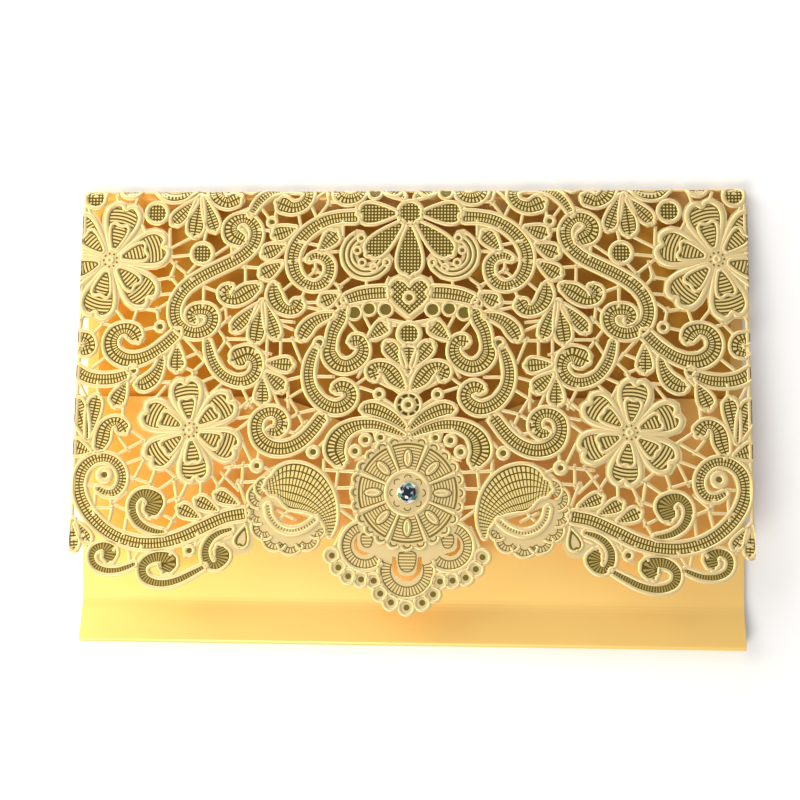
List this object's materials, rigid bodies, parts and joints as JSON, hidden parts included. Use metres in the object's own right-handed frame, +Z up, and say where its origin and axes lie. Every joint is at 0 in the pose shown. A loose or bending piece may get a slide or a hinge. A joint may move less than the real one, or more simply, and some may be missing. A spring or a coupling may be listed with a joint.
{
  "type": "wedding invitation",
  "caption": "Laser-cut pearlescent gold wedding invitation: a card wrap with a lace flap folded over a pocket, an insert card and a rhinestone.",
  "frame": {"origin": "centre of the outer face of the back panel, on which the invitation lies", "axes": "+X along the width, +Y from the bottom fold to the top fold, +Z up out of the lace front"},
  "size_m": [0.185, 0.127, 0.0168],
  "materials": {
    "gold_card": "pearlescent, soft sheen",
    "insert_paper": "matt",
    "crystal": "polished, foil-backed"
  },
  "bodies": {
    "root": {"folded_wrap": "gold_card", "insert_card": "insert_paper", "rhinestone": "crystal"}
  },
  "joints": []
}
